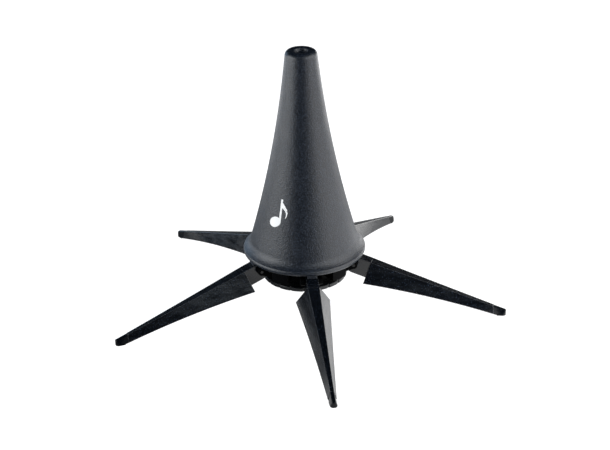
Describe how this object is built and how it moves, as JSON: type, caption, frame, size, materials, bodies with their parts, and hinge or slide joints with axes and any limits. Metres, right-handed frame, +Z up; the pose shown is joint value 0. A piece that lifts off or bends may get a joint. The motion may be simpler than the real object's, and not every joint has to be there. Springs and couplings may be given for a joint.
{
  "type": "trumpet stand",
  "caption": "Folding stand with a flared hollow bell cone on a round hub with notched base plate, pivoting roof-shaped legs and small foot caps.",
  "frame": {"origin": "on the floor, under the cone's axis", "axes": "+Z up along the cone's axis; -Y along the first leg"},
  "size_m": [0.2714, 0.2584, 0.1878],
  "materials": {
    "cone_plastic": "fine spark-eroded grain",
    "hub_plastic": "satin moulded",
    "plate_plastic": "satin moulded",
    "screw_steel": "zinc plated",
    "leg_plastic": "satin glass-filled plastic",
    "foot_plastic": "semi-gloss soft plastic",
    "pin_steel": "blackened steel"
  },
  "bodies": {
    "hub_body": {"hub": "hub_plastic", "base_plate": "plate_plastic", "base_screws": "screw_steel", "pivot_pin_1": "pin_steel", "pivot_pin_2": "pin_steel", "pivot_pin_3": "pin_steel", "pivot_pin_4": "pin_steel", "pivot_pin_5": "pin_steel"},
    "cone_body": {"cone": "cone_plastic"},
    "leg_1_body": {"leg_1": "leg_plastic", "foot_cap_1": "foot_plastic"},
    "leg_2_body": {"leg_2": "leg_plastic", "foot_cap_2": "foot_plastic"},
    "leg_3_body": {"leg_3": "leg_plastic", "foot_cap_3": "foot_plastic"},
    "leg_4_body": {"leg_4": "leg_plastic", "foot_cap_4": "foot_plastic"},
    "leg_5_body": {"leg_5": "leg_plastic", "foot_cap_5": "foot_plastic"}
  },
  "joints": [
    {"name": "cone_lift", "type": "slide", "parent": "hub_body", "child": "cone_body", "axis": [0, 0, 1], "range_m": [0, 0.15]},
    {"name": "leg_1_fold", "type": "hinge", "parent": "hub_body", "child": "leg_1_body", "pos_m": [0, -0.036, 0.0336], "axis": [-1, 0, 0], "range_deg": [0, 123]},
    {"name": "leg_2_fold", "type": "hinge", "parent": "hub_body", "child": "leg_2_body", "pos_m": [0.03424, -0.01112, 0.0336], "axis": [-0.309, -0.9511, 0], "range_deg": [0, 123]},
    {"name": "leg_3_fold", "type": "hinge", "parent": "hub_body", "child": "leg_3_body", "pos_m": [0.02116, 0.02913, 0.0336], "axis": [0.809, -0.5878, 0], "range_deg": [0, 123]},
    {"name": "leg_4_fold", "type": "hinge", "parent": "hub_body", "child": "leg_4_body", "pos_m": [-0.02116, 0.02913, 0.0336], "axis": [0.809, 0.5878, 0], "range_deg": [0, 123]},
    {"name": "leg_5_fold", "type": "hinge", "parent": "hub_body", "child": "leg_5_body", "pos_m": [-0.03424, -0.01112, 0.0336], "axis": [-0.309, 0.9511, 0], "range_deg": [0, 123]}
  ],
  "couplings": [
    {"joint": "leg_1_fold", "follows": "cone_lift", "rad_per_m": 14.311},
    {"joint": "leg_2_fold", "follows": "cone_lift", "rad_per_m": 14.311},
    {"joint": "leg_3_fold", "follows": "cone_lift", "rad_per_m": 14.311},
    {"joint": "leg_4_fold", "follows": "cone_lift", "rad_per_m": 14.311},
    {"joint": "leg_5_fold", "follows": "cone_lift", "rad_per_m": 14.311}
  ]
}
